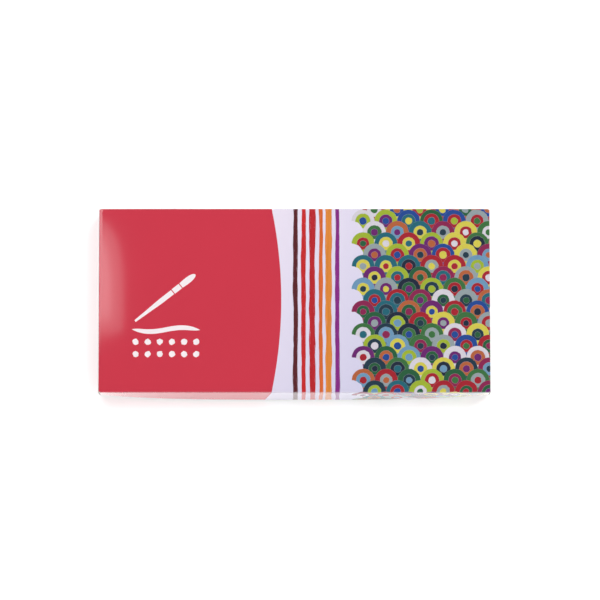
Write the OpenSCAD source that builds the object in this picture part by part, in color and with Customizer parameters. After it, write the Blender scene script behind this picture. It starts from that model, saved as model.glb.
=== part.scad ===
// Gouache paint set: a lift-off carton lid over a card base, a formed plastic tray
// and a row of aluminium paint tubes with screw caps.
// The tubes set the size of the tray, the tray that of the base, and the base that of the lid.
// Millimetres. Origin at the middle of the base's underside, front towards -Y, +Z up.

/* [Tubes] */
// Diameter of a filled tube
tube_d = 15; // [13:0.5:17]
// Length of the part that the paint keeps round
round_len = 44; // [40:1:60]
// Length over which the tube goes from round to flat
taper_len = 40; // [25:1:60]
// Length of the folded end
crimp_len = 4; // [3:0.5:7]
// Thickness of the folded end
crimp_t = 1; // [0.7:0.1:1.6]
// Angle by which the flat end is turned up from level
crimp_turn = 38; // [30:1:48]
// Thickness of the aluminium
tube_wall = 0.15; // [0.1:0.01:0.2]
// Free gap between the folded ends of neighbouring tubes
tube_space = 0.25; // [0.2:0.05:2]
// Height of the sloping shoulder
shoulder_h = 1.8; // [1.2:0.1:4]
// Thickness of the shoulder
shoulder_t = 0.5; // [0.3:0.05:0.6]
// Diameter of the neck under its thread
neck_d = 7; // [6:0.5:8]
// Diameter of the hole that the paint comes out of
nozzle_d = 4; // [2:0.5:4.5]

/* [Caps] */
// Diameter of a cap over its ribs
cap_d = 12; // [11:0.5:13]
// Height of a cap
cap_h = 9; // [8:0.5:12]
// Thickness of a cap's closed end
cap_top = 2; // [1.2:0.1:2.5]
// Number of grip ribs around a cap
cap_ribs = 24; // [12:1:36]
// Depth of the grooves between the ribs
rib_depth = 0.3; // [0.1:0.05:0.4]
// Free gap between a closed cap and the shoulder
cap_gap = 0.3; // [0.2:0.1:1]
// Thickness of the sealing wad in a cap
wad_t = 1; // [0.5:0.1:1.5]
// Distance that one turn moves a cap
thread_pitch = 1.5; // [1:0.1:2]
// Height of the thread on the neck
thread_h = 0.4; // [0.2:0.05:0.6]
// Free gap between the thread and the cap's bore
thread_gap = 0.2; // [0.1:0.05:0.4]

/* [Tray] */
// Thickness of the formed sheet
sheet = 0.5; // [0.3:0.05:0.8]
// Width of the rim around the top of the tray
rim = 1.2; // [0.8:0.1:3]
// Distance from the top edge of the base down to the tray's rim
rim_drop = 3.5; // [2:0.5:5]
// Length of the channels that hold the round part of the tubes
channel_len = 36; // [20:1:38]
// Free gap between a tube and the sides of its channel
channel_gap = 0.4; // [0.3:0.1:1]
// Height that a tube lies above the tray
seat_gap = 0.3; // [0.2:0.1:1]
// Room for a finger between the caps and the tray's front wall
finger_room = 6.4; // [5.5:0.1:12]
// Free gap behind the folded ends
tail_gap = 0.8; // [0.5:0.1:4]
// Free gap between the outer tubes and the tray's end walls
end_gap = 0.5; // [0.3:0.1:4]
// Radius of the tray's upright corners
tray_corner = 2.5; // [1:0.5:6]

/* [Card box] */
// Thickness of the card
card = 0.5; // [0.3:0.05:0.8]
// Free gap between the tray and the base, on each side
tray_gap = 0.3; // [0.2:0.1:2]
// Free gap between the base and the lid, on each side
lid_gap = 0.4; // [0.2:0.1:1]
// Room above the tubes when the lid is on
headroom = 3.1; // [2:0.1:12]
// Height of the lid's lower edge above the table
lid_reveal = 1.5; // [0.5:0.5:5]
// How far the lid's long walls bow out at the middle of their free edge
wall_bow = 2.9; // [0.5:0.1:5]
// Length of the glue flaps inside the end walls
glue_flap = 26; // [10:1:36]
// Gap that keeps a glue flap's long edges off the fold and the free edge
flap_inset = 1; // [0.5:0.1:3]

/* [Hidden] */
PAINTS = ["white", "lemon_yellow", "yellow_ochre", "orange", "vermilion", "crimson",
          "ultramarine", "cerulean", "viridian", "sap_green", "burnt_sienna", "black"];
PAINT_COLOURS = ["#f4f2ec", "#f2e22b", "#c98a2b", "#ee7a1f", "#dd3b26", "#a5163a",
                 "#24389c", "#2c8fc4", "#157a63", "#557a2c", "#7c3a22", "#201f22"];

tube_count = len(PAINTS);
tube_r = tube_d / 2;
neck_r = neck_d / 2;
nozzle_r = nozzle_d / 2;

// A flattened tube keeps its girth, so it grows wider as it gets thinner
tail_t = 4 * tube_wall;
tail_w = girth_width(tail_t);
tail_span = tail_w * cos(crimp_turn) + crimp_t * sin(crimp_turn);
tail_rise = (tail_w * sin(crimp_turn) + crimp_t * cos(crimp_turn)) / 2;
pitch = tail_span + tube_space;

// Lengths along a tube, from the folded end to the cap
taper_end = crimp_len + taper_len;
shoulder_z = taper_end + round_len;
neck_z = shoulder_z + shoulder_h;
cap_z = neck_z + cap_gap;
seal_gap = 0.1;
neck_top = cap_z + cap_h - cap_top - wad_t - seal_gap;
tube_len = cap_z + cap_h;

// Cap and thread
cap_r = cap_d / 2;
crest_r = neck_r + thread_h;
cap_bore_r = crest_r + thread_gap;
wad_r = cap_bore_r - thread_gap / 2;
cap_band_h = 0.8;
band_step = 0.1;
cap_end_h = 1;
thread_turns = floor((neck_top - neck_z) / thread_pitch - 0.6);
paint_gap = 0.05;
paint_below_mouth = 0.5;

// Tray, from the tubes outwards
cavity_w = (tube_count - 1) * pitch + tail_span + 2 * end_gap;
cavity_d = tube_len + tail_gap + finger_room;
tray_w = cavity_w + 2 * (sheet + rim);
tray_d = cavity_d + 2 * (sheet + rim);
channel_r = tube_r + channel_gap;
channel_set_back = 1;
land_drop = 1;

// Base, from the tray outwards, and the lid over it
base_w = tray_w + 2 * (tray_gap + 2 * card);
base_d = tray_d + 2 * (tray_gap + card);
box_w = base_w + 2 * (lid_gap + 2 * card);
box_d = base_d + 2 * (lid_gap + card);

// Heights
axis_z = card + sheet + seat_gap + max(tube_r, tail_rise);
base_h = axis_z + max(tube_r, tail_rise) + headroom;
box_h = base_h + card;
rim_z = base_h - rim_drop;
channel_axis_z = axis_z + channel_gap - seat_gap;
land_z = channel_axis_z - land_drop;

// Places along the depth
tail_y = cavity_d / 2 - tail_gap;
channel_front_y = tail_y - shoulder_z + channel_set_back;
channel_back_y = channel_front_y + channel_len;
zone_lip = 1;
front_zone_y = channel_front_y - zone_lip;
back_zone_y = channel_back_y + zone_lip;

// The bowed walls fall off towards the corners by this power of the distance
bow_power = 3.5;
wall_steps = 32;
cut = 1;

function girth_width(thickness) = thickness + PI * (tube_d - thickness) / 2;
function tube_x(index) = (index - (tube_count - 1) / 2) * pitch;
function bow_at(x) = wall_bow * (1 - pow(min(1, abs(2 * x / box_w)), bow_power));

// A plate centred on the origin, standing on z = 0, with round upright corners
module rounded_plate(width, depth, height, radius) {
    linear_extrude(height) {
        square([width - 2 * radius, depth], center = true);
        square([width, depth - 2 * radius], center = true);
        for (x = [-1, 1], y = [-1, 1])
            translate([x * (width / 2 - radius), y * (depth / 2 - radius)])
                circle(radius, $fn = 48);
    }
}

// A box centred on x, from front to back and from bottom to top
module slab(width, front, back, bottom, top) {
    translate([-width / 2, front, bottom]) cube([width, back - front, top - bottom]);
}

// ---- Card base ----------------------------------------------------------------------

// Flaps that fold round a corner and are glued inside the end walls
module glue_flaps(width, depth, bottom, top) {
    for (x = [-1, 1], y = [-1, 1])
        translate([x * (width / 2 - 1.5 * card), y * (depth / 2 - card - glue_flap / 2),
                   (bottom + top) / 2])
            cube([card, glue_flap, top - bottom], center = true);
}

module base() {
    color("whitesmoke") {
        difference() {
            slab(base_w, -base_d / 2, base_d / 2, 0, base_h);
            slab(base_w - 2 * card, card - base_d / 2, base_d / 2 - card, card, base_h + cut);
        }
        glue_flaps(base_w, base_d, card + flap_inset, base_h - flap_inset);
    }
}

// ---- Card lid -----------------------------------------------------------------------

// One long wall: straight at its fold, bowed at its free lower edge, outer face towards -Y
module bowed_wall() {
    spots = [for (i = [0:wall_steps]) box_w * (i / wall_steps - 0.5)];
    corners = [for (x = spots) each [[x, -bow_at(x), lid_reveal], [x, 0, box_h],
                                     [x, card, box_h], [x, card - bow_at(x), lid_reveal]]];
    last = 4 * wall_steps;
    sides = [for (i = [0:wall_steps - 1], side = [0:3])
                let (a = 4 * i + side, b = 4 * i + (side + 1) % 4)
                each [[a, b, b + 4], [a, b + 4, a + 4]]];
    ends = [[3, 2, 1, 0], [last, last + 1, last + 2, last + 3]];
    polyhedron(corners, concat(sides, ends));
}

module lid() {
    color("crimson") {
        slab(box_w, -box_d / 2, box_d / 2, base_h, box_h);
        for (side = [0, 1])
            mirror([side, 0, 0])
                translate([-box_w / 2, -box_d / 2, lid_reveal])
                    cube([card, box_d, box_h - lid_reveal]);
        for (side = [0, 1])
            mirror([0, side, 0]) translate([0, -box_d / 2, 0]) bowed_wall();
        glue_flaps(box_w, box_d, lid_reveal + flap_inset, base_h - flap_inset);
    }
}

// ---- Formed tray --------------------------------------------------------------------

// The row of round channels, as solid rods along the depth
module channel_rods(radius, front, back) {
    for (index = [0:tube_count - 1])
        translate([tube_x(index), back, channel_axis_z])
            rotate([90, 0, 0]) cylinder(r = radius, h = back - front, $fn = 96);
}

// What the sheet leaves free above it
module above_sheet() {
    difference() {
        translate([0, 0, card + sheet])
            rounded_plate(cavity_w, cavity_d, rim_z, tray_corner);
        slab(cavity_w + 2 * cut, channel_front_y, channel_back_y, 0, land_z);
    }
    channel_rods(channel_r, channel_front_y - cut, channel_back_y + cut);
}

// What the sheet leaves free below the land between the channels
module below_land() {
    difference() {
        slab(tray_w, channel_front_y + sheet, channel_back_y - sheet, 0, land_z - sheet);
        channel_rods(channel_r + sheet, channel_front_y, channel_back_y);
    }
}

module formed_sheet() {
    difference() {
        union() {
            translate([0, 0, card])
                rounded_plate(cavity_w + 2 * sheet, cavity_d + 2 * sheet, rim_z - card,
                              tray_corner + sheet);
            translate([0, 0, rim_z - sheet])
                rounded_plate(tray_w, tray_d, sheet, tray_corner + sheet + rim);
        }
        above_sheet();
        below_land();
    }
}

// The sheet is one moulding, kept as three zones whose cut faces meet on the trough floors
module tray_zone(front, back) {
    color("white")
        intersection() {
            formed_sheet();
            slab(tray_w + 2 * cut, front, back, 0, rim_z + cut);
        }
}

// ---- Paint tubes --------------------------------------------------------------------

// Cross-section of a tube pressed to a thickness, less the given inset all round
module pressed_section(thickness, inset) {
    square([girth_width(thickness) - thickness, thickness - 2 * inset], center = true);
    for (side = [-1, 1])
        translate([side * (girth_width(thickness) - thickness) / 2, 0])
            circle(thickness / 2 - inset, $fn = 32);
}

// The filled part of a tube along +Z, up to the shoulder, less the given inset
module filled_part(inset) {
    slice = 0.01;
    hull() {
        translate([0, 0, crimp_len])
            linear_extrude(slice) rotate(crimp_turn) pressed_section(tail_t, inset);
        translate([0, 0, taper_end - slice])
            linear_extrude(slice) circle(tube_r - inset, $fn = 64);
    }
    translate([0, 0, taper_end - slice])
        cylinder(r = tube_r - inset, h = round_len + slice, $fn = 96);
}

// Thread ridges up the neck, as points of the turned outline
function thread_points() = [
    for (turn = [0:thread_turns - 1])
        let (foot = neck_z + (turn + 0.5) * thread_pitch)
        each [[neck_r, foot], [crest_r, foot + 0.2 * thread_pitch],
              [crest_r, foot + 0.4 * thread_pitch], [neck_r, foot + 0.6 * thread_pitch]]];

module tube(index) {
    color("silver")
        place(index)
            difference() {
                union() {
                    filled_part(0);
                    rotate(crimp_turn)
                        translate([-tail_w / 2, -crimp_t / 2, 0])
                            cube([tail_w, crimp_t, crimp_len]);
                    rotate_extrude($fn = 96)
                        polygon([[0, shoulder_z], [tube_r, shoulder_z],
                                 [neck_r + thread_h, neck_z], [neck_r, neck_z],
                                 each thread_points(), [neck_r, neck_top], [0, neck_top]]);
                }
                filled_part(tube_wall);
                rotate_extrude($fn = 96)
                    polygon([[0, shoulder_z - cut / 2], [tube_r - tube_wall, shoulder_z - cut / 2],
                             [tube_r - tube_wall, shoulder_z],
                             [nozzle_r, neck_z - shoulder_t], [nozzle_r, neck_top + cut],
                             [0, neck_top + cut]]);
            }
}

module paint(index) {
    inset = tube_wall + paint_gap;
    color(PAINT_COLOURS[index])
        place(index) {
            filled_part(inset);
            rotate_extrude($fn = 96)
                polygon([[0, shoulder_z - cut / 2], [tube_r - inset, shoulder_z - cut / 2],
                         [tube_r - inset, shoulder_z - paint_gap],
                         [nozzle_r - paint_gap, neck_z - shoulder_t - paint_gap],
                         [nozzle_r - paint_gap, neck_top - paint_below_mouth],
                         [0, neck_top - paint_below_mouth]]);
        }
}

// ---- Caps ---------------------------------------------------------------------------

module cap(index) {
    rib_r = cap_r - band_step;
    groove_r = rib_r - rib_depth;
    color("white")
        place(index) translate([0, 0, cap_z])
            difference() {
                union() {
                    cylinder(r = cap_r, h = cap_band_h, $fn = 96);
                    linear_extrude(cap_h - cap_end_h)
                        polygon([for (step = [0:2 * cap_ribs - 1])
                                    let (radius = step % 2 == 0 ? rib_r : groove_r,
                                         angle = 180 * step / cap_ribs)
                                    radius * [cos(angle), sin(angle)]]);
                    translate([0, 0, cap_h - cap_end_h])
                        cylinder(r1 = groove_r - band_step, r2 = groove_r - cap_end_h / 2,
                                 h = cap_end_h, $fn = 96);
                }
                translate([0, 0, -cut])
                    cylinder(r = cap_bore_r, h = cap_h - cap_top + cut, $fn = 96);
            }
}

module wad(index) {
    color("gainsboro")
        place(index)
            translate([0, 0, cap_z + cap_h - cap_top - wad_t])
                cylinder(r = wad_r, h = wad_t, $fn = 96);
}

// Lays a piece made along +Z in its channel, folded end to the back and cap to the front
module place(index) {
    translate([tube_x(index), tail_y, axis_z]) rotate([90, 0, 0]) children();
}

base();
tray_zone(-tray_d / 2 - cut, front_zone_y);  // tray_cap_trough
tray_zone(front_zone_y, back_zone_y);  // tray_channels
tray_zone(back_zone_y, tray_d / 2 + cut);  // tray_tail_trough
lid();
for (index = [0:tube_count - 1]) {
    tube(index);
    cap(index);
    wad(index);
    paint(index);
}
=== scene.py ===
import math

import bpy
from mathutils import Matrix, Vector, noise


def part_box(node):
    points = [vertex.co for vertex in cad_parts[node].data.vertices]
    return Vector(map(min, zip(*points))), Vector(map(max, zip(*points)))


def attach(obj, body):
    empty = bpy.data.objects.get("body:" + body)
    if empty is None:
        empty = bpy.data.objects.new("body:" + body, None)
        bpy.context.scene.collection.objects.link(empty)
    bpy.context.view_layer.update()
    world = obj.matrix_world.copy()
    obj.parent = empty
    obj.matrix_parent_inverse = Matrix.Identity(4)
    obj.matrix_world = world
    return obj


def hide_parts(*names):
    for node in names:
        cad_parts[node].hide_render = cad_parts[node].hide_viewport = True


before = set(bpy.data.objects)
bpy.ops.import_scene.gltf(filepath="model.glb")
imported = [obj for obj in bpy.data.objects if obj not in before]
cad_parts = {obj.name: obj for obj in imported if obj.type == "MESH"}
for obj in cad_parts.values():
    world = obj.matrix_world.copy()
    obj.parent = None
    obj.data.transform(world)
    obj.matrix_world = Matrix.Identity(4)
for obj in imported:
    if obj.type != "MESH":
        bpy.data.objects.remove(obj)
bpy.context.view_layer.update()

# ---- Base ---------------------------------------------------------------------------
# The lower half of the box: one blank of white-lined boxboard, creased and folded up on
# four sides. A flap at each end of the long walls turns the corner and is glued inside
# the end wall.

MM = 0.001
board_t = 0.5 * MM
crease_r = 0.6 * MM
crease_arc = crease_r * math.pi / 2
flap_gap = 1.0 * MM
lid_gap = 0.4 * MM
base_low, base_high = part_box("base")
base_w = base_high.x - base_low.x
base_d = base_high.y - base_low.y
base_flap = 26 * MM
base_slack = 0.55 * MM


def take(*pieces):
    """Leaves only these objects selected, the first of them active."""
    bpy.ops.object.select_all(action="DESELECT")
    for piece in pieces:
        piece.select_set(True)
    bpy.context.view_layer.objects.active = pieces[0]


def apply(piece, kind, **settings):
    """Adds one modifier to a piece and applies it."""
    take(piece)
    modifier = piece.modifiers.new(kind, kind)
    for name, value in settings.items():
        setattr(modifier, name, value)
    bpy.ops.object.modifier_apply(modifier=modifier.name)


def choose(piece, kind, chosen):
    """Opens a piece for editing, with only the faces or vertices that fit selected."""
    take(piece)
    bpy.ops.object.mode_set(mode="EDIT")
    bpy.ops.mesh.select_mode(type=kind)
    bpy.ops.mesh.select_all(action="DESELECT")
    bpy.ops.object.mode_set(mode="OBJECT")
    for element in piece.data.polygons if kind == "FACE" else piece.data.vertices:
        element.select = chosen(element)
    bpy.ops.object.mode_set(mode="EDIT")


def lined_sheet(name, across, along):
    """A flat sheet with a grid line at each of the given places."""
    columns, rows = len(across) - 1, len(along) - 1
    bpy.ops.mesh.primitive_grid_add(x_subdivisions=columns, y_subdivisions=rows, size=1)
    sheet = bpy.context.object
    sheet.name = name
    for vertex in sheet.data.vertices:
        column = round((vertex.co.x + 0.5) * columns)
        row = round((vertex.co.y + 0.5) * rows)
        vertex.co = (across[column], along[row], 0)
    return sheet


def both_ways(places):
    """Places to the right of the middle, mirrored to the left, with the middle between."""
    return [-place for place in reversed(places)] + [0.0] + list(places)


def evenly(start, end, count):
    """Places spread evenly after start, up to and with end."""
    return [start + (end - start) * step / count for step in range(1, count + 1)]


def bend(distance):
    """How far across and down a sheet gets, that far past the start of a square fold."""
    if distance < crease_arc:
        turn = distance / crease_r
        return crease_r * math.sin(turn), crease_r * (1 - math.cos(turn))
    return crease_r, crease_r + distance - crease_arc


def folded_box(name, width, depth, wall, flap, bow=0.0, crown=0.0, bow_power=3.5):
    """Cuts a blank and folds its walls down from a panel at z = 0, outer face outwards.

    The flat blank's own coordinates are kept in the UV map "print", in metres.
    """
    flat_u, flat_v = width / 2 - crease_r, depth / 2 - crease_r
    arcs = [crease_arc * step / 4 for step in range(1, 5)]
    wall_end = crease_arc + wall - crease_r
    wall_lines = [crease_arc + flap_gap] + evenly(crease_arc + flap_gap, wall_end - flap_gap, 5)
    wall_lines.append(wall_end)
    flap_end = crease_arc + flap
    past_u = arcs + wall_lines + [flap_end]
    past_v = arcs + wall_lines
    near_fold = 18 * MM
    crown_power_u, crown_power_v = 5, 3
    over_u = evenly(0, flat_u - near_fold, 20) + evenly(flat_u - near_fold, flat_u, 12)
    over_v = evenly(0, flat_v - near_fold, 8) + evenly(flat_v - near_fold, flat_v, 10)
    across = both_ways(over_u + [flat_u + line for line in past_u])
    along = both_ways(over_v + [flat_v + line for line in past_v])
    blank = lined_sheet(name, across, along)
    margin = arcs[1]

    def waste(face):
        u, v = abs(face.center.x) - flat_u, abs(face.center.y) - flat_v
        end_wall = 0 < u < wall_end and v < 0 or crease_arc < u < wall_end and 0 < v < margin
        long_wall = u < 0 or u < crease_arc < v
        corner_flap = u > 0 and crease_arc + flap_gap < v < wall_end - flap_gap
        return not (end_wall or long_wall or corner_flap)

    choose(blank, "FACE", waste)
    bpy.ops.mesh.delete(type="FACE")
    bpy.ops.object.mode_set(mode="OBJECT")

    blank.data.uv_layers[0].name = "print"
    layer = blank.data.uv_layers["print"].data
    for loop in blank.data.loops:
        layer[loop.index].uv = blank.data.vertices[loop.vertex_index].co.xy

    squeeze = (flat_u - board_t) / flat_u
    for vertex in blank.data.vertices:
        u, v = abs(vertex.co.x), abs(vertex.co.y)
        side_u, side_v = math.copysign(1, vertex.co.x), math.copysign(1, vertex.co.y)
        if u > flat_u and v < flat_v + margin * 1.01:
            out, down = bend(u - flat_u)
            x, y = flat_u + out, v
        elif v > flat_v:
            out, down = bend(v - flat_v)
            x, inwards = u * squeeze, 0.0
            if u > flat_u:
                along_wall, inwards = bend(u - flat_u)
                x = flat_u * squeeze + along_wall
            share = min(1.0, u / flat_u)
            swing = bow * (1 - share ** bow_power) * down / wall
            down *= math.sqrt(1 - (swing / wall) ** 2)
            y = flat_v + out + swing - inwards
        else:
            x, y, down = u, v, 0.0
        bulge_u = 1 - min(1.0, u / flat_u) ** crown_power_u
        bulge_v = 1 - min(1.0, v / flat_v) ** crown_power_v
        down += crown * (1 - bulge_u * bulge_v)
        vertex.co = (side_u * x, side_v * y, -down)
    return blank


class Wire:
    """An output in a material's nodes. Arithmetic on wires adds Math nodes."""

    def __init__(self, tree, socket=None):
        self.tree = tree
        self.socket = socket

    def node(self, kind, settings=None, inputs=None, output=0):
        """Adds a node: its settings first, then the values or wires of its sockets."""
        made = self.tree.nodes.new("ShaderNode" + kind)
        for name, value in (settings or {}).items():
            setattr(made, name, value)
        for key, value in (inputs or {}).items():
            if isinstance(value, Wire):
                self.tree.links.new(value.socket, made.inputs[key])
            else:
                made.inputs[key].default_value = value
        return Wire(self.tree, made.outputs[output])

    def maths(self, operation, *values, clamp=False):
        settings = {"operation": operation, "use_clamp": clamp}
        return self.node("Math", settings, dict(enumerate(values)))

    def __add__(self, other):
        return self.maths("ADD", self, other)

    def __radd__(self, other):
        return self.maths("ADD", other, self)

    def __sub__(self, other):
        return self.maths("SUBTRACT", self, other)

    def __rsub__(self, other):
        return self.maths("SUBTRACT", other, self)

    def __mul__(self, other):
        return self.maths("MULTIPLY", self, other)

    def __rmul__(self, other):
        return self.maths("MULTIPLY", other, self)

    def __truediv__(self, other):
        return self.maths("DIVIDE", self, other)

    def __pow__(self, other):
        return self.maths("POWER", self, other)

    def __abs__(self):
        return self.maths("ABSOLUTE", self)

    def floor(self):
        return self.maths("FLOOR", self)

    def sine(self):
        return self.maths("SINE", self)

    def clamped(self):
        return self.maths("ADD", self, 0.0, clamp=True)

    def above(self, limit):
        return self.maths("GREATER_THAN", self, limit)

    def below(self, limit):
        return self.maths("LESS_THAN", self, limit)

    def least(self, other):
        return self.maths("MINIMUM", self, other)

    def most(self, other):
        return self.maths("MAXIMUM", self, other)

    def object_place(self):
        return self.node("TexCoord", output="Object")

    def part(self, axis):
        return self.node("SeparateXYZ", inputs={0: self}, output=axis)

    def vector(self, x=0.0, y=0.0, z=0.0):
        return self.node("CombineXYZ", inputs={0: x, 1: y, 2: z})

    def stretched(self, x, y, z):
        return self.node("VectorMath", {"operation": "MULTIPLY"}, {0: self, 1: (x, y, z)})

    def cloud(self, scale, detail=3.0, roughness=0.5):
        """Noise from 0 to 1 at this wire's place."""
        inputs = {"Vector": self, "Scale": scale, "Detail": detail, "Roughness": roughness}
        return self.node("TexNoise", inputs=inputs)

    def mix(self, first, second):
        """Mixes two colours by this wire."""
        return self.node("Mix", {"data_type": "RGBA"}, {0: self, 6: first, 7: second}, output=2)

    def feed(self, name):
        """Leads this wire to a socket of the material's main shader."""
        self.tree.links.new(self.socket, self.tree.nodes["Principled BSDF"].inputs[name])

    def bump(self, distance, strength=1.0):
        """Feeds this wire to the surface as a height, where 1 is that distance."""
        inputs = {"Strength": strength, "Distance": distance, "Height": self}
        self.node("Bump", inputs=inputs).feed("Normal")


def new_finish(name, **fixed):
    """A material whose named shader sockets hold fixed values, and a wire to start from."""
    material = bpy.data.materials.new(name)
    material.use_nodes = True
    shader = material.node_tree.nodes["Principled BSDF"]
    for socket, value in fixed.items():
        shader.inputs[socket.replace("_", " ")].default_value = value
    return material, Wire(material.node_tree)


def board_finish(name, light, dark, roughness):
    """Uncoated board: soft mottling, fine fibres and a slightly rough surface."""
    material, start = new_finish(name, Roughness=roughness, Specular_IOR_Level=0.3)
    place = start.object_place()
    mottle = place.cloud(160, 4.0)
    fibres = place.stretched(1.0, 3.5, 3.5).cloud(1400, 3.0, 0.65)
    (mottle * 0.55 + fibres * 0.45).mix((*dark, 1), (*light, 1)).feed("Base Color")
    (fibres * 0.7 + place.cloud(3200, 2.0) * 0.3).bump(0.03 * MM)
    return material


def edge_finish(name):
    """The cut edge of a board: grey-brown core mottled with paler fibre, slightly furry."""
    material, start = new_finish(name, Roughness=0.85, Specular_IOR_Level=0.2)
    place = start.object_place()
    core = place.cloud(2600, 4.0, 0.7)
    core.mix((0.50, 0.47, 0.42, 1), (0.78, 0.76, 0.72, 1)).feed("Base Color")
    core.bump(0.05 * MM)
    return material


board_outside = board_finish("board_outside", (0.86, 0.86, 0.85), (0.80, 0.80, 0.79), 0.55)
board_inside = board_finish("board_inside", (0.76, 0.74, 0.70), (0.66, 0.64, 0.60), 0.8)
board_edge = edge_finish("board_edge")

base = folded_box("base_card", base_w, base_d, base_high.z - base_slack, base_flap)
for vertex in base.data.vertices:
    vertex.co.z *= -1
choose(base, "FACE", lambda face: True)
bpy.ops.mesh.flip_normals()
bpy.ops.object.mode_set(mode="OBJECT")
for finish in (board_outside, board_inside, board_edge):
    base.data.materials.append(finish)
apply(base, "SOLIDIFY", thickness=board_t, offset=-1, use_even_offset=True,
      material_offset=1, material_offset_rim=2)
bpy.ops.object.shade_smooth_by_angle(angle=math.radians(35))
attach(base, "box")
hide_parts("base")

# ---- Tray ---------------------------------------------------------------------------
# One sheet of white polystyrene, drawn warm into a mould: a rim all round, a trough for
# the folded tube ends, a trough for the caps with room for a finger, and between them a
# land with a round channel for each tube.

PAINTS = {
    "white": (0.90, 0.89, 0.85), "lemon_yellow": (0.92, 0.80, 0.06),
    "yellow_ochre": (0.60, 0.33, 0.07), "orange": (0.88, 0.27, 0.02),
    "vermilion": (0.74, 0.07, 0.03), "crimson": (0.42, 0.012, 0.06),
    "ultramarine": (0.025, 0.05, 0.38), "cerulean": (0.03, 0.28, 0.58),
    "viridian": (0.005, 0.19, 0.13), "sap_green": (0.11, 0.21, 0.035),
    "burnt_sienna": (0.20, 0.045, 0.015), "black": (0.014, 0.013, 0.016),
}
sheet_t = 0.5 * MM
tray_rim = 1.2 * MM
tray_corner = 2.5 * MM
wall_run = 0.7 * MM
land_edge = 0.9 * MM
channel_gap = 0.4 * MM
seat_gap = 0.3 * MM
land_drop = 1.0 * MM
land_blend = 0.35 * MM
tray_zones = ("tray_cap_trough", "tray_channels", "tray_tail_trough")
tray_low, channels_low, tail_low = (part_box(zone)[0] for zone in tray_zones)
tray_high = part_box(tray_zones[-1])[1]
zone_lip = 1.0 * MM
tube_boxes = {paint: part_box(f"tube_{paint}") for paint in PAINTS}
cap_boxes = {paint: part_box(f"cap_{paint}") for paint in PAINTS}
tube_xs = [(low.x + high.x) / 2 for low, high in tube_boxes.values()]
tube_pitch = (tube_xs[-1] - tube_xs[0]) / (len(tube_xs) - 1)
cap_low, cap_high = cap_boxes["white"]
axis_z = (cap_low.z + cap_high.z) / 2
tube_r = 7.5 * MM
cavity_x = tray_high.x - sheet_t - tray_rim
cavity_y = tray_high.y - sheet_t - tray_rim
floor_z = tray_low.z + sheet_t
channel_r = tube_r + channel_gap
channel_z = axis_z + channel_gap - seat_gap
land_z = channel_z - land_drop
land_front = channels_low.y + zone_lip
land_back = tail_low.y - zone_lip


def eased(share):
    """A step from 0 to 1 with soft ends."""
    share = min(1.0, max(0.0, share))
    return share * share * (3 - 2 * share)


def rounded_edge(x, y, half_x, half_y, radius):
    """Distance outside a rectangle with round corners, negative inside it."""
    dx, dy = abs(x) - half_x + radius, abs(y) - half_y + radius
    return math.hypot(max(dx, 0), max(dy, 0)) + min(max(dx, dy), 0) - radius


def tray_height(x, y):
    """Height of the sheet's upper face."""
    channel = round((x - tube_xs[0]) / tube_pitch)
    channel = min(len(tube_xs) - 1, max(0, channel))
    beside = abs(x - tube_xs[channel])
    land = land_z
    if beside < channel_r:
        round_z = channel_z - math.sqrt(channel_r ** 2 - beside ** 2)
        near = max(0.0, land_blend - abs(round_z - land_z))
        land = min(round_z, land_z) - near * near / (4 * land_blend)
    ends = eased((y - land_front) / land_edge) * eased((land_back - y) / land_edge)
    bottom = floor_z + (land - floor_z) * ends
    wall = eased(-rounded_edge(x, y, cavity_x, cavity_y, tray_corner) / wall_run)
    return tray_high.z + (bottom - tray_high.z) * wall


channel_lines = [0.0, 1.6, 3.1, 4.5, 5.6, 6.5, 7.1, 7.5, 7.75, 7.95, 8.2, 8.6, 9.2]
wall_lines = [wall_run * step / 6 for step in range(7)] + [1.2 * MM, 1.8 * MM, 2.5 * MM]
rim_lines = [0.5 * MM, 1.0 * MM, 1.5 * MM, sheet_t + tray_rim]
edge_lines = rim_lines + [-line for line in wall_lines]
land_lines = [land_edge * step / 6 for step in range(7)]
across = [tube_xs[0] + tube_pitch * index + side * line * MM
          for index in range(len(tube_xs)) for line in channel_lines for side in (-1, 1)]
across += [side * (cavity_x + line) for line in edge_lines for side in (-1, 1)]
along = [side * (cavity_y + line) for line in edge_lines + [-4 * MM] for side in (-1, 1)]
along += [land_front + line for line in land_lines] + [land_back - line for line in land_lines]
along += [land_front + 9 * MM * step for step in (1, 2, 3)]
along += [land_back + 8 * MM * step for step in range(1, 6)] + [land_front - 7 * MM]


def spaced(places, apart=0.05 * MM):
    """Places in order, without those that lie on the one before."""
    kept = []
    for place in sorted(places):
        if not kept or place - kept[-1] > apart:
            kept.append(place)
    return kept


tray = lined_sheet("formed_tray", spaced(across), spaced(along))
outer_corner = tray_corner + sheet_t + tray_rim


def past_corner(place):
    return rounded_edge(place.x, place.y, tray_high.x, tray_high.y, outer_corner)


corners = tray.data.vertices
choose(tray, "FACE",
       lambda face: all(past_corner(corners[index].co) > 0 for index in face.vertices))
bpy.ops.mesh.delete(type="FACE")
bpy.ops.object.mode_set(mode="OBJECT")
for vertex in tray.data.vertices:
    x, y = vertex.co.x, vertex.co.y
    height = tray_height(x, y)
    if past_corner(vertex.co) > 0:
        centre = Vector((math.copysign(tray_high.x - outer_corner, x),
                         math.copysign(tray_high.y - outer_corner, y)))
        spoke = Vector((x, y)) - centre
        x, y = centre + spoke * (outer_corner / spoke.length)
    vertex.co = (x, y, height)

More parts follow.
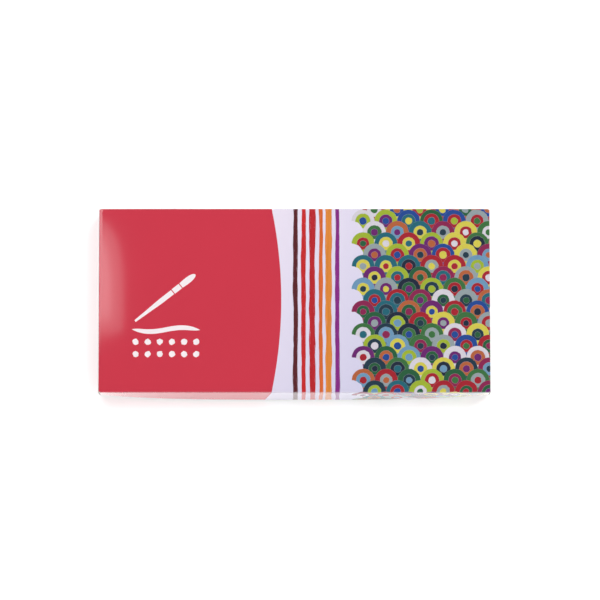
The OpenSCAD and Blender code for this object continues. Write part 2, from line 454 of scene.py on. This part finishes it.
tray_finish, start = new_finish("tray_polystyrene", Roughness=0.28, Coat_Weight=0.5,
                                Coat_Roughness=0.12, Specular_IOR_Level=0.5)
place = start.object_place()
haze = place.cloud(45, 3.0)
haze.mix((0.84, 0.84, 0.85, 1), (0.90, 0.90, 0.90, 1)).feed("Base Color")
(place.cloud(260, 3.0) * 0.14 + 0.27).feed("Roughness")
(place.cloud(60, 2.0) * 0.9 + place.cloud(450, 2.0) * 0.1).bump(0.05 * MM)
tray.data.materials.append(tray_finish)
apply(tray, "SOLIDIFY", thickness=sheet_t, offset=-1)
bpy.ops.object.shade_smooth_by_angle(angle=math.radians(40))
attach(tray, "box")
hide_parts(*tray_zones)

# ---- Paint tubes --------------------------------------------------------------------
# Soft aluminium, extruded in one piece with its shoulder and threaded neck, enamelled
# white and printed with a band of the paint's colour. It is filled from the back, pressed
# flat and its end folded over twice, so it tapers from round to a wide thin edge.

crimp_len = 4.0 * MM
crimp_t = 1.0 * MM
crimp_turn = math.radians(38)
taper_len = 40 * MM
round_len = 44 * MM
shoulder_h = 1.8 * MM
neck_r = 3.5 * MM
crest_r = 3.9 * MM
nozzle_r = 2.0 * MM
thread_pitch = 1.5 * MM
tail_t = 0.6 * MM
taper_end = crimp_len + taper_len
shoulder_at = taper_end + round_len
neck_at = shoulder_at + shoulder_h
tail_y = tube_boxes["white"][1].y
neck_top = tail_y - tube_boxes["white"][0].y
fold_w = math.pi * tube_r + tail_t * (1 - math.pi / 2)


def turned(name, sides, outline):
    """A shape on the Z axis, pulled ring by ring through (radius, height) places.

    It is closed at its first place and open at its last.
    """
    radius, height = outline[0]
    bpy.ops.mesh.primitive_circle_add(vertices=sides, radius=radius, location=(0, 0, height))
    piece = bpy.context.object
    piece.name = name
    bpy.ops.object.transform_apply(location=True, rotation=True, scale=True)
    bpy.ops.object.mode_set(mode="EDIT")
    bpy.ops.mesh.select_all(action="SELECT")
    bpy.ops.mesh.edge_face_add()
    for next_radius, next_height in outline[1:]:
        step = (0, 0, next_height - height)
        bpy.ops.mesh.extrude_region_move(TRANSFORM_OT_translate={"value": step})
        scale = next_radius / radius
        bpy.ops.transform.resize(value=(scale, scale, 1), center_override=(0, 0, next_height))
        radius, height = next_radius, next_height
    bpy.ops.mesh.select_all(action="SELECT")
    bpy.ops.mesh.normals_make_consistent(inside=False)
    bpy.ops.object.mode_set(mode="OBJECT")
    return piece


def pressed(angle, thickness):
    """A point of the tube's wall, pressed flat to a thickness with its girth unchanged."""
    girth = math.pi * 2 * tube_r
    end_r = thickness / 2
    straight = (girth - 2 * math.pi * end_r) / 2
    along_wall = angle / (2 * math.pi) * girth
    quarter = math.pi * end_r / 2
    if along_wall > girth / 2:
        x, y = pressed(2 * math.pi - angle, thickness)
        return x, -y
    if along_wall < quarter:
        turn = along_wall / end_r
        return straight / 2 + end_r * math.cos(turn), end_r * math.sin(turn)
    if along_wall < quarter + straight:
        return straight / 2 - (along_wall - quarter), end_r
    turn = math.pi / 2 + (along_wall - quarter - straight) / end_r
    return -straight / 2 + end_r * math.cos(turn), end_r * math.sin(turn)


def copied(form, name):
    """A copy of a form, as a piece of its own."""
    piece = bpy.data.objects.new(name, form.data.copy())
    bpy.context.scene.collection.objects.link(piece)
    return piece


def lay(piece, number, foot_y, spin=0.0):
    """Lays a piece that stands on the Z axis into a channel, its foot to the back."""
    for vertex in piece.data.vertices:
        x, y, z = vertex.co
        across_axis = x * math.cos(spin) - y * math.sin(spin)
        up = x * math.sin(spin) + y * math.cos(spin)
        vertex.co = (tube_xs[number] + across_axis, foot_y - z, axis_z + up)


def flatten(piece, inset=0.0):
    """Presses the wide part of a turned piece flat towards the folded end."""
    for vertex in piece.data.vertices:
        share = max(0.0, (vertex.co.z - crimp_len) / taper_len)
        if share < 1 and vertex.co.xy.length > crest_r:
            thickness = tail_t + (2 * tube_r - tail_t) * share
            angle = math.atan2(vertex.co.y, vertex.co.x) % (2 * math.pi)
            x, y = pressed(angle, thickness)
            x *= 1 - 2 * inset / (fold_w + (2 * tube_r - fold_w) * share)
            y *= 1 - 2 * inset / thickness
            vertex.co.x = x * math.cos(crimp_turn) - y * math.sin(crimp_turn)
            vertex.co.y = x * math.sin(crimp_turn) + y * math.cos(crimp_turn)


wall_rings = [(tube_r, crimp_len - 0.3 * MM + taper_len * step / 30) for step in range(31)]
wall_rings += [(tube_r, taper_end + (round_len - 0.4 * MM) * step / 24) for step in range(1, 25)]
shoulder_rings = [(tube_r - 0.12 * MM, shoulder_at), (tube_r - 0.5 * MM, shoulder_at + 0.18 * MM),
                  (crest_r + 0.5 * MM, neck_at - 0.2 * MM), (crest_r, neck_at - 0.05 * MM),
                  (neck_r, neck_at)]
neck_rings = [(neck_r, neck_top - 0.3 * MM), (neck_r - 0.3 * MM, neck_top),
              (nozzle_r + 0.15 * MM, neck_top), (nozzle_r, neck_top - 0.15 * MM),
              (nozzle_r, neck_top - 3 * MM)]
tube_form = turned("tube_form", 64, wall_rings + shoulder_rings + neck_rings)
choose(tube_form, "VERT", lambda vertex: vertex.co.xy.length < nozzle_r * 1.01
       and vertex.co.z < neck_top - 2.9 * MM)
bpy.ops.mesh.edge_face_add()
bpy.ops.object.mode_set(mode="OBJECT")
flatten(tube_form)

# The thread: a small ridge wound three times round the neck, with run-out ends
thread_turns = 3
thread_steps = 48 * thread_turns
thread_low = neck_at + 0.7 * MM
thread_root = neck_r - 0.1 * MM
sunk_r = neck_r - 0.05 * MM
run_out = 0.25
run_out_height = 0.4
bpy.ops.mesh.primitive_plane_add(size=1, location=(0, 0, 0))
thread = bpy.context.object
ridge = {(1, 1): (crest_r, 0.12), (1, -1): (crest_r, -0.12),
         (-1, 1): (thread_root, 0.3), (-1, -1): (thread_root, -0.3)}
for vertex in thread.data.vertices:
    radius, rise = ridge[(round(2 * vertex.co.x), round(2 * vertex.co.y))]
    vertex.co = (radius, 0, thread_low + rise * thread_pitch)
apply(thread, "SCREW", angle=2 * math.pi * thread_turns, screw_offset=thread_pitch * thread_turns,
      steps=thread_steps, render_steps=thread_steps, use_normal_calculate=True)
for vertex in thread.data.vertices:
    wound = math.atan2(vertex.co.y, vertex.co.x) / (2 * math.pi) % 1
    turn = round((vertex.co.z - thread_low) / thread_pitch - wound) + wound
    fade = eased(turn / run_out) * eased((thread_turns - turn) / run_out)
    middle = thread_low + turn * thread_pitch
    radius = vertex.co.xy.length
    if radius > neck_r:
        radius = sunk_r + (radius - sunk_r) * fade
    vertex.co.xy = vertex.co.xy.normalized() * radius
    height = run_out_height + (1 - run_out_height) * fade
    vertex.co.z = middle + (vertex.co.z - middle) * height

# The fold: three layers of flat tube, with the lines that the closing jaws press in. Its
# lines and depths are in millimetres
groove_lines = (0.5, 1.15, 1.8, 2.45)
groove_half = 0.15
fold_lines = [line + side * groove_half for line in groove_lines for side in (-1, 0, 1)]
fold_lines += [3.0, 3.25]
fold_columns = 24
groove_depth, end_depth = 0.12, 0.18
lip_at, lip_front, lip_back = 3.1, 0.22, 0.05
flutter_depth, flutter_across, flutter_up = 0.06, 5, 3
bpy.ops.mesh.primitive_cube_add(size=1, location=(0, 0, crimp_len / 2))
fold = bpy.context.object
bpy.ops.transform.resize(value=(fold_w, crimp_t, crimp_len), center_override=(0, 0, crimp_len / 2))
bpy.ops.object.transform_apply(location=True, rotation=True, scale=True)
bpy.ops.object.mode_set(mode="EDIT")
for line in fold_lines:
    bpy.ops.mesh.select_all(action="SELECT")
    bpy.ops.mesh.bisect(plane_co=(0, 0, line * MM), plane_no=(0, 0, 1))
for step in range(1, fold_columns):
    column_x = fold_w * (step / fold_columns - 0.5)
    bpy.ops.mesh.select_all(action="SELECT")
    bpy.ops.mesh.bisect(plane_co=(column_x, 0, 0), plane_no=(1, 0, 0))
bpy.ops.object.mode_set(mode="OBJECT")
for vertex in fold.data.vertices:
    height = vertex.co.z / MM
    in_groove = any(abs(height - line) < 0.02 for line in groove_lines)
    depth = groove_depth if in_groove else 0.0
    if height > lip_at:
        depth = lip_front if vertex.co.y > 0 else lip_back
    if height < 0.01:
        depth = end_depth
    vertex.co.y -= math.copysign(depth * MM, vertex.co.y)
    spot = Vector((vertex.co.x / (flutter_across * MM), 0, height / flutter_up))
    vertex.co.y += flutter_depth * MM * noise.noise(spot)
take(fold)
bpy.ops.transform.rotate(value=-crimp_turn, orient_axis="Z", center_override=(0, 0, 0))
bpy.ops.object.transform_apply(location=True, rotation=True, scale=True)


def enamel_finish(name, colour):
    """White enamel with a printed colour band and two thin lines, over aluminium.

    Heights and widths are in millimetres, from the folded end.
    """
    band_at = taper_end / MM + 6
    line_at, line_half = band_at - 2.2, 0.35
    hem_at, hem_half = crimp_len / MM + 5, 0.5
    bare_below, bare_fade = crimp_len / MM + 0.6, 0.8
    ink_edge = 0.1
    material, start = new_finish(name, Specular_IOR_Level=0.5, Coat_Weight=0.6,
                                 Coat_Roughness=0.1)
    place = start.object_place()
    waver = (place.cloud(220, 2.0) - 0.5) * 0.25
    height = (tail_y - place.part("Y")) / MM + waver
    band = ((height - band_at) / ink_edge).clamped()
    line = ((line_half - abs(height - line_at)) / ink_edge).clamped()
    hem = ((hem_half - abs(height - hem_at)) / ink_edge).clamped()
    printed = band.most(line).most(hem)
    tint = place.cloud(90, 3.0)
    white = tint.mix((0.82, 0.82, 0.80, 1), (0.87, 0.87, 0.86, 1))
    ink = tint.mix((*(shade * 0.9 for shade in colour), 1), (*colour, 1))
    coat = printed.mix(white, ink)
    rubbed = ((place.cloud(900, 4.0, 0.7) - 0.72) * 12).clamped()
    rubbed = rubbed * ((bare_below - height) / bare_fade).clamped()
    rubbed.mix(coat, (0.62, 0.62, 0.64, 1)).feed("Base Color")
    (place.cloud(400, 3.0) * 0.13 + 0.26).feed("Roughness")
    (place.cloud(160, 2.0) * 0.85 + place.cloud(700, 2.0) * 0.15).bump(0.03 * MM)
    return material


metal_finish, start = new_finish("bare_aluminium", Base_Color=(0.80, 0.80, 0.82, 1), Metallic=1.0)
place = start.object_place()
turning = place.stretched(0.2, 5.0, 0.2).cloud(900, 3.0)
(turning * 0.12 + place.cloud(300, 2.0) * 0.08 + 0.25).feed("Roughness")
turning.bump(0.01 * MM)

# Handling leaves each tube its own shallow dents and creases, fainter towards the shoulder
dent_size = 10 * MM
dent_depth = 0.5 * MM
crease_depth = 0.10 * MM
dent_seed = Vector((0, 7.3, 0))
crease_seed = Vector((9, 4, 2))
dents_end = shoulder_at - 2 * MM
for number, (paint, colour) in enumerate(PAINTS.items()):
    parts = [copied(form, "tube_part") for form in (tube_form, thread, fold)]
    body, neck_thread, end_fold = parts
    enamel = enamel_finish(f"enamel_{paint}", colour)
    for part, finish in ((body, enamel), (body, metal_finish), (neck_thread, metal_finish),
                         (end_fold, enamel)):
        part.data.materials.append(finish)
    normals = [vertex.normal.copy() for vertex in body.data.vertices]
    for vertex, normal in zip(body.data.vertices, normals):
        height = vertex.co.z
        if crimp_len < height < dents_end:
            spot = vertex.co / dent_size + dent_seed * number + Vector((0, 0, 3.1))
            dent = max(0.0, noise.noise(spot) - 0.1)
            crease = max(0.0, 1 - 5 * abs(noise.noise(spot * 1.3 + crease_seed))) ** 2
            softness = 1 - 0.6 * eased((height - crimp_len) / (shoulder_at - crimp_len))
            near_end = eased((height - crimp_len) / (6 * MM))
            depth = dent * dent_depth + crease * crease_depth
            vertex.co -= normal * depth * softness * near_end
    for face in body.data.polygons:
        face.material_index = int(face.center.z > shoulder_at - 0.3 * MM)
    take(*parts)
    bpy.ops.object.join()
    tube = bpy.context.object
    tube.name = f"enamelled_tube_{paint}"
    tube.data.name = tube.name
    lay(tube, number, tail_y)
    bpy.ops.object.shade_smooth_by_angle(angle=math.radians(40))
    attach(tube, f"tube_{paint}")
    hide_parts(f"tube_{paint}")
for form in (tube_form, thread, fold):
    bpy.data.objects.remove(form)

# ---- Paint --------------------------------------------------------------------------
# The gouache itself, a smooth thick paste that fills the tube to just below its mouth. It
# shows only there, once the cap is off.

paint_inset = 0.9 * MM
paint_r = tube_r - paint_inset
spout_r = nozzle_r - 0.06 * MM
paint_top = neck_top - 0.6 * MM
paint_rings = [(paint_r, crimp_len + taper_len * (0.16 + 0.12 * step)) for step in range(8)]
paint_rings += [(paint_r, shoulder_at - 0.8 * MM), (spout_r, neck_at - 1.0 * MM),
                (spout_r, paint_top - 0.25 * MM), (spout_r * 0.8, paint_top - 0.05 * MM),
                (spout_r * 0.4, paint_top), (0.1 * MM, paint_top)]
paint_form = turned("paint_form", 32, paint_rings)
flatten(paint_form, paint_inset)

for number, (paint, colour) in enumerate(PAINTS.items()):
    gouache, start = new_finish(f"gouache_{paint}", Specular_IOR_Level=0.4)
    place = start.object_place()
    swirl = place.cloud(700, 3.0)
    swirl.mix((*(shade * 0.85 for shade in colour), 1), (*colour, 1)).feed("Base Color")
    (place.cloud(900, 2.0) * 0.2 + 0.3).feed("Roughness")
    swirl.bump(0.15 * MM)
    filling = copied(paint_form, f"gouache_in_{paint}")
    filling.data.materials.append(gouache)
    lay(filling, number, tail_y)
    take(filling)
    bpy.ops.object.shade_smooth_by_angle(angle=math.radians(40))
    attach(filling, f"tube_{paint}")
    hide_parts(f"paint_{paint}")
bpy.data.objects.remove(paint_form)

# ---- Caps ---------------------------------------------------------------------------
# Moulded in white polypropylene: a plain band at the open end, grip ribs up the side, a
# rounded shoulder and a shallow dish in the closed end.

cap_r = (cap_high.x - cap_low.x) / 2
cap_h = cap_high.y - cap_low.y
cap_bore_r = 4.1 * MM
cap_top = 2.0 * MM
cap_ribs = 24
rib_depth = 0.32 * MM
ribs_from, ribs_to = 1.0 * MM, cap_h - 0.9 * MM
rib_r = cap_r - 0.12 * MM
dish_z = cap_h - 0.35 * MM
dish_middle_r = 0.3 * MM
cap_spin = 0.7
cap_outline = [(cap_bore_r, cap_h - cap_top), (cap_bore_r, 0.25 * MM), (cap_bore_r + 0.25 * MM, 0),
               (cap_r - 0.2 * MM, 0), (cap_r, 0.2 * MM), (cap_r, 0.7 * MM),
               (rib_r, 0.85 * MM), (rib_r, 1.1 * MM),
               (rib_r, cap_h - 1.5 * MM), (rib_r, cap_h - 1.0 * MM),
               (cap_r - 0.35 * MM, cap_h - 0.5 * MM), (cap_r - 0.75 * MM, cap_h - 0.15 * MM),
               (cap_r - 1.3 * MM, cap_h), (cap_r - 2.0 * MM, cap_h),
               (cap_r - 2.25 * MM, cap_h - 0.3 * MM), (cap_r - 3.2 * MM, dish_z),
               (dish_middle_r, dish_z)]
cap_form = turned("cap_form", cap_ribs * 6, cap_outline)
choose(cap_form, "VERT", lambda vertex: vertex.co.xy.length < dish_middle_r * 1.03)
bpy.ops.mesh.edge_face_add()
bpy.ops.object.mode_set(mode="OBJECT")
for vertex in cap_form.data.vertices:
    radius = vertex.co.xy.length
    if ribs_from < vertex.co.z < ribs_to and radius > cap_bore_r * 1.1:
        angle = math.atan2(vertex.co.y, vertex.co.x)
        groove = (0.5 - 0.5 * math.cos(cap_ribs * angle)) * rib_depth
        vertex.co.xy *= (radius - groove) / radius

cap_finish, start = new_finish("cap_polypropylene", Specular_IOR_Level=0.5, Coat_Weight=0.25,
                               Coat_Roughness=0.2)
place = start.object_place()
place.cloud(120, 2.0).mix((0.83, 0.83, 0.82, 1), (0.88, 0.88, 0.87, 1)).feed("Base Color")
(place.cloud(500, 3.0) * 0.15 + 0.3).feed("Roughness")
place.cloud(2200, 2.0).bump(0.02 * MM)

for number, paint in enumerate(PAINTS):
    cap = copied(cap_form, f"ribbed_cap_{paint}")
    cap.data.materials.append(cap_finish)
    lay(cap, number, cap_high.y, cap_spin * number)
    take(cap)
    bpy.ops.object.shade_smooth_by_angle(angle=math.radians(50))
    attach(cap, f"cap_{paint}")
    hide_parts(f"cap_{paint}")
bpy.data.objects.remove(cap_form)

# ---- Wads ---------------------------------------------------------------------------
# A disc of soft white foam, cut from sheet and pressed into the cap's closed end, where it
# seals the tube's mouth.

wad_finish, start = new_finish("wad_foam", Roughness=0.8, Specular_IOR_Level=0.3)
cells = start.object_place().cloud(3000, 3.0)
cells.mix((0.70, 0.70, 0.68, 1), (0.84, 0.84, 0.82, 1)).feed("Base Color")
cells.bump(0.08 * MM)
for paint in PAINTS:
    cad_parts[f"wad_{paint}"].material_slots[0].material = wad_finish

# ---- Lid ----------------------------------------------------------------------------
# The printed upper half: the same kind of folded blank, a little larger, printed before
# it was cut and laminated with a clear gloss film, so the print runs over the folds. The
# film pulls the top into a slight crown, and the free edges of the long walls bow out.

lid_low, lid_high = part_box("lid")
lid_w = lid_high.x - lid_low.x
lid_d = base_d + 2 * (lid_gap + board_t)
lid_bow = (lid_high.y - lid_low.y - lid_d) / 2
lid_crown = 0.45 * MM
lid_wall = lid_high.z - lid_low.z - lid_crown
lid = folded_box("printed_lid", lid_w, lid_d, lid_wall, base_flap, bow=lid_bow, crown=lid_crown)
for vertex in lid.data.vertices:
    vertex.co.z += lid_high.z

# The print is drawn in millimetres, on the flat blank from the middle of the lid. Each
# stripe has its middle, its width and its ink
red = (0.595, 0.027, 0.056)
stripes = [(0.6, 2.9, (0.075, 0.002, 0.006)), (5.6, 2.8, (0.46, 0.006, 0.008)),
           (11.0, 3.8, (0.40, 0.004, 0.010)), (16.2, 2.4, (0.56, 0.10, 0.012)),
           (20.9, 4.0, (0.60, 0.19, 0.020)), (26.3, 2.8, (0.19, 0.008, 0.18))]
scale_r = 7.0
rows_before = 100
scales_from = 35.0
ink_edge = 0.12
scale_inks = [(0.36, 0.006, 0.018), (0.36, 0.006, 0.018), (0.24, 0.008, 0.070),
              (0.44, 0.11, 0.035), (0.64, 0.57, 0.07), (0.33, 0.44, 0.025),
              (0.035, 0.15, 0.040), (0.010, 0.10, 0.035), (0.006, 0.12, 0.17),
              (0.14, 0.30, 0.47), (0.28, 0.34, 0.36), (0.66, 0.63, 0.70),
              (0.006, 0.055, 0.28), (0.003, 0.012, 0.035), (0.005, 0.030, 0.055),
              (0.13, 0.008, 0.14)]

print_finish, start = new_finish("laminated_print", Roughness=0.6, Specular_IOR_Level=0.1,
                                 Coat_Weight=1.0, Coat_Roughness=0.05, Coat_IOR=1.5)
flat = start.node("UVMap", {"uv_map": "print"})
across_mm = flat.part("X") / MM
along_mm = flat.part("Y") / MM


def ink_ramp(chance, inks):
    """Picks one ink by a wire that runs from 0 to 1."""
    picked = chance.node("ValToRGB", inputs={"Fac": chance})
    ramp = picked.socket.node.color_ramp
    ramp.interpolation = "CONSTANT"
    while len(ramp.elements) < len(inks):
        ramp.elements.new(0.5)
    for step, ink in enumerate(inks):
        ramp.elements[step].position = step / len(inks)
        ramp.elements[step].color = (*ink, 1)
    return picked


# The pale band, with a slow fade across it, and its upright strokes of a flat brush
fade = ((across_mm - along_mm * 0.6 + 40) / 130).clamped()
art = fade.mix((0.81, 0.74, 0.87, 1), (0.62, 0.60, 0.79, 1))
drag = start.vector(across_mm * 2.2, along_mm * 0.03).cloud(1.0, 4.0, 0.6)
bristle = start.vector(across_mm * 5.0, along_mm * 0.12).cloud(1.0, 3.0, 0.7)
for number, (middle, wide, ink) in enumerate(stripes):
    sway = start.vector(number * 9.7, along_mm * 0.03).cloud(1.0, 2.0) - 0.5
    swell = start.vector(number * 5.3 + 40, along_mm * 0.05).cloud(1.0, 2.0) * 0.9 + 0.55
    off = abs(across_mm - middle - sway * 1.6) + (bristle - 0.5) * 0.5
    stroke = ((swell * wide / 2 - off) / ink_edge).clamped()
    dry = ((bristle - 0.60) * 14).clamped() * ((off / wide - 0.22) * 9).clamped()
    pale = (*(shade * 1.35 + 0.006 for shade in ink), 1)
    body_ink = ((drag - 0.35) * 3).clamped().mix((*ink, 1), pale)
    art = (stroke * (1 - dry * 0.75)).mix(art, body_ink)

# The scale pattern: rows of round scales, each painted in two or three inks
shiver = start.vector(across_mm, along_mm).cloud(0.55, 3.0) - 0.5
scale_u = (across_mm + shiver * 0.9) / (2 * scale_r)
scale_v = (along_mm + shiver * 0.7 + rows_before * scale_r) / scale_r
row = scale_v.floor()
rise = scale_v - row
odd = row - (row / 2).floor() * 2
near_u = scale_u + odd * 0.5
near_column = near_u.floor()
near_off = (near_u - near_column - 0.5) * 2
near = (near_off * near_off + rise * rise) ** 0.5
far_u = scale_u + (1 - odd) * 0.5
far_column = far_u.floor()
far_off = (far_u - far_column - 0.5) * 2
far = (far_off * far_off + (1 - rise) * (1 - rise)) ** 0.5
in_front = near.below(1.0)
behind = 1 - in_front
ring = near * in_front + far * behind
column = near_column * in_front + far_column * behind
own_row = row + behind
shift = odd * in_front + (1 - odd) * behind
centre_mm = (column + 0.5 - shift * 0.5) * (2 * scale_r)


def chance(seed):
    """A number from 0 to 1 that is the same all over one scale."""
    cell = start.vector(column, own_row, seed)
    return start.node("TexWhiteNoise", {"noise_dimensions": "3D"}, {"Vector": cell}, "Value")


def far_from(pick, seed):
    """Another pick, at least a fifth of the list of inks away."""
    away = 0.2
    moved = pick + away + chance(seed) * (1 - 2 * away)
    return moved - moved.floor()


inner_edge = 0.60 + (chance(4.0) - 0.5) * 0.16
outer_pick = chance(1.0)
middle_pick = far_from(outer_pick, 2.0)
heart_pick = far_from(middle_pick, 3.0)
outer_ink, middle_ink, heart_ink = (ink_ramp(pick, scale_inks)
                                    for pick in (outer_pick, middle_pick, heart_pick))
heart_edge = inner_edge * 0.5
inks = ring.below(inner_edge).mix(outer_ink, middle_ink)
inks = ring.below(heart_edge).mix(inks, heart_ink)
grain = start.vector(across_mm * 0.8, along_mm * 2.4).cloud(1.0, 5.0, 0.65)
shaded = grain.mix((0.72, 0.72, 0.75, 1), (1.20, 1.18, 1.15, 1))
inks = start.node("VectorMath", {"operation": "MULTIPLY"}, {0: inks, 1: shaded})
seam_half, seam_edge = 0.016, 0.012
to_seam = (1 - ring).least(abs(ring - inner_edge)).least(abs(ring - heart_edge))
seam = ((seam_half - to_seam) / seam_edge).clamped() * (grain * 1.6 - 0.3).clamped()
inks = (seam * 0.7).mix(inks, (0.62, 0.60, 0.66, 1))
art = centre_mm.above(scales_from).mix(art, inks)

# The red field, plain but for the soft unevenness of a full solid of ink, and its edge,
# which curves away at both ends
field_edge = -8.0 - 6.0 * (along_mm / 57) ** 2
bloom = start.vector(across_mm, along_mm).cloud(0.02, 2.0)
deep_red = (*(shade * 0.97 for shade in red), 1)
field_red = bloom.mix(deep_red, (*(shade * 1.03 for shade in red), 1))
field = ((field_edge - across_mm) / ink_edge).clamped()
art = field.mix(art, field_red)

# A white sign where the name of the set would be: a brush, a painted stroke, and a dab of
# paint for each of the twelve tubes
sign_x, sign_y, sign_turn = -78.5, 2.0, math.radians(38)
sign_edge = 0.1
handle_from, handle_to, handle_end_half, handle_swell = -24, 5.0, 0.7, 0.9
ferrule_from, ferrule_to, ferrule_half = 5.6, 11.0, 1.75
tuft_from, tuft_len, tuft_half = 11.6, 11, 2.1
swash_below, swash_reach, swash_half = 20.0, 21, 1.5
dab_gap, dab_r, dab_rows = 7.4, 1.9, (-27.5, -35.0)
local_x, local_y = across_mm - sign_x, along_mm - sign_y
brush_a = local_x * math.cos(sign_turn) + local_y * math.sin(sign_turn)
brush_b = abs(local_y * math.cos(sign_turn) - local_x * math.sin(sign_turn))
handle_half = handle_end_half + ((brush_a - handle_from) / 20).clamped() * handle_swell
handle = ((handle_half - brush_b) / sign_edge).clamped()
handle = handle * brush_a.above(handle_from) * brush_a.below(handle_to)
ferrule = ((ferrule_half - brush_b) / sign_edge).clamped()
ferrule = ferrule * brush_a.above(ferrule_from) * brush_a.below(ferrule_to)
tuft_share = ((brush_a - tuft_from) / tuft_len).clamped()
tuft_edge = tuft_half * (1 - tuft_share ** 2.2) ** 0.5 * (0.82 + 0.5 * tuft_share)
tuft = ((tuft_edge - brush_b) / sign_edge).clamped() * brush_a.above(tuft_from)
wave = local_y + swash_below - (local_x * 0.16).sine() * 1.2
swash_taper = (1 - (abs(local_x) / swash_reach) ** 6).clamped()
swash = ((swash_half * swash_taper - abs(wave)) / sign_edge).clamped()
swash = swash * abs(local_x).below(swash_reach)
dab_column = ((local_x / dab_gap).floor() + 0.5) * dab_gap
dab_off = local_x - dab_column
dabs = 0.0
for dab_row in dab_rows:
    dab_rise = local_y - dab_row
    dab_size = (dab_off * dab_off + dab_rise * dab_rise) ** 0.5 + shiver * 1.4
    dabs = ((dab_r - dab_size) / sign_edge).clamped() + dabs
dabs = dabs * abs(local_x).below(3 * dab_gap)
sign = handle.most(ferrule).most(tuft).most(swash).most(dabs)
art = sign.mix(art, (0.93, 0.84, 0.87, 1))

# Along the folds the ink cracks a little and the white of the board shows. An even pale line along
# every fold is also painted on: a painted highlight where the rounded fold catches the light
crease_u = (lid_w / 2 - crease_r + crease_arc / 2) / MM
crease_v = (lid_d / 2 - crease_r + crease_arc / 2) / MM
off_fold = abs(abs(across_mm) - crease_u).least(abs(abs(along_mm) - crease_v))
crack_and_sheen_half, crack_and_sheen_edge = 0.30, 0.25
cracks_and_fold_sheen = ((crack_and_sheen_half - off_fold) / crack_and_sheen_edge).clamped()
speckle = ((start.vector(across_mm, along_mm).cloud(1.6, 5.0, 0.7) - 0.53) * 9).clamped()
# Painted highlight and wear: the steady pale tint along every fold is painted light, the speckled
# part is cracked ink
art = (cracks_and_fold_sheen * (speckle * 0.45 + 0.26)).mix(art, (0.86, 0.80, 0.82, 1))
art.feed("Base Color")
ripple = start.vector(across_mm, along_mm).cloud(0.06, 2.0)
peel = start.vector(across_mm, along_mm).cloud(0.9, 2.0)
(ripple * 0.9 + peel * 0.1).bump(0.05 * MM)

for finish in (print_finish, board_inside, board_edge):
    lid.data.materials.append(finish)
apply(lid, "SOLIDIFY", thickness=board_t, offset=-1, use_even_offset=True,
      material_offset=1, material_offset_rim=2)
bpy.ops.object.shade_smooth_by_angle(angle=math.radians(35))
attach(lid, "lid")
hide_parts("lid")

# ---- Studio -------------------------------------------------------------------------
# A white floor with a low white backdrop all round under a dim ceiling, and four soft
# boxes. The left two hang where the lid's left edge mirrors them into the camera.

camera_lift, mirror_lift = 0.45, 0.95
ceiling_glow = 0.3
backdrop_top, backdrop_fade = 0.25, 0.15


def lit_rays(start):
    """Two wires, one for the camera's own rays and one for mirrored or refracted rays."""
    mirrored = start.node("LightPath", output="Is Glossy Ray")
    refracted = start.node("LightPath", output="Is Transmission Ray")
    return start.node("LightPath", output="Is Camera Ray"), mirrored + refracted


bpy.ops.mesh.primitive_plane_add(size=8, location=(0, 0, -0.05 * MM))
floor = bpy.context.object
floor.name = "studio_floor"
bpy.ops.object.transform_apply(location=True, rotation=True, scale=True)
sweep = bpy.data.materials.new("white_sweep")
sweep.use_nodes = True
tree = sweep.node_tree
shader = tree.nodes["Principled BSDF"]
shader.inputs["Base Color"].default_value = (0.86, 0.86, 0.86, 1)
shader.inputs["Roughness"].default_value = 0.8
start = Wire(tree)
camera_ray, mirror_ray = lit_rays(start)
lift = camera_ray * camera_lift + mirror_ray.clamped() * mirror_lift
paper = Wire(tree, shader.outputs[0])
glow = start.node("Emission", inputs={"Color": (1, 1, 1, 1), "Strength": lift})
shown = start.node("AddShader", inputs={0: paper, 1: glow})
tree.links.new(shown.socket, tree.nodes["Material Output"].inputs["Surface"])
floor.data.materials.append(sweep)

world = bpy.data.worlds.new("studio")
bpy.context.scene.world = world
world.use_nodes = True
background = world.node_tree.nodes["Background"]
start = Wire(world.node_tree)
camera_ray, mirror_ray = lit_rays(start)
up = start.node("TexCoord", output="Generated").part("Z")
backdrop = ((backdrop_top - up) / backdrop_fade).clamped()
seen = camera_ray.most(mirror_ray * backdrop).clamped()
strength = seen * (1 - ceiling_glow) + ceiling_glow
world.node_tree.links.new(strength.socket, background.inputs["Strength"])
background.inputs["Color"].default_value = (1, 1, 1, 1)


def soft_light(name, place, size, glow, target=(0, 0, 0)):
    """A square soft box that faces its target, as bright as a surface of that glow."""
    lamp = bpy.data.lights.new(name, "AREA")
    lamp.size = size
    lamp.energy = glow * math.pi * size * size
    holder = bpy.data.objects.new(name, lamp)
    bpy.context.scene.collection.objects.link(holder)
    holder.location = place
    facing = Vector(target) - Vector(place)
    holder.rotation_euler = facing.to_track_quat("-Z", "Y").to_euler()


soft_light("left_box", (-0.76, 0.70, 2.2), 1.0, 2.3, (-0.76, 0.70, 0))
soft_light("left_core", (-0.79, 0.72, 2.19), 1.0, 2.4, (-0.79, 0.72, 0))
soft_light("right_box", (1.1, 1.1, 1.8), 1.2, 6.2)
soft_light("front_box", (0.3, -1.7, 1.5), 2.0, 1.5)

view_tilt = math.radians(83.6)
view_distance = 2.228
lens_mm = 218.6
aim = Vector((3.4 * MM, 0.2 * MM, lid_high.z))
camera_data = bpy.data.cameras.new("photo_view")
camera_data.lens = lens_mm
camera_data.sensor_width = 36
camera = bpy.data.objects.new("photo_view", camera_data)
bpy.context.scene.collection.objects.link(camera)
camera.location = aim + view_distance * Vector((0, -math.cos(view_tilt), math.sin(view_tilt)))
camera.rotation_euler = (math.pi / 2 - view_tilt, 0, 0)
bpy.context.scene.camera = camera
bpy.context.scene.view_settings.view_transform = "Standard"
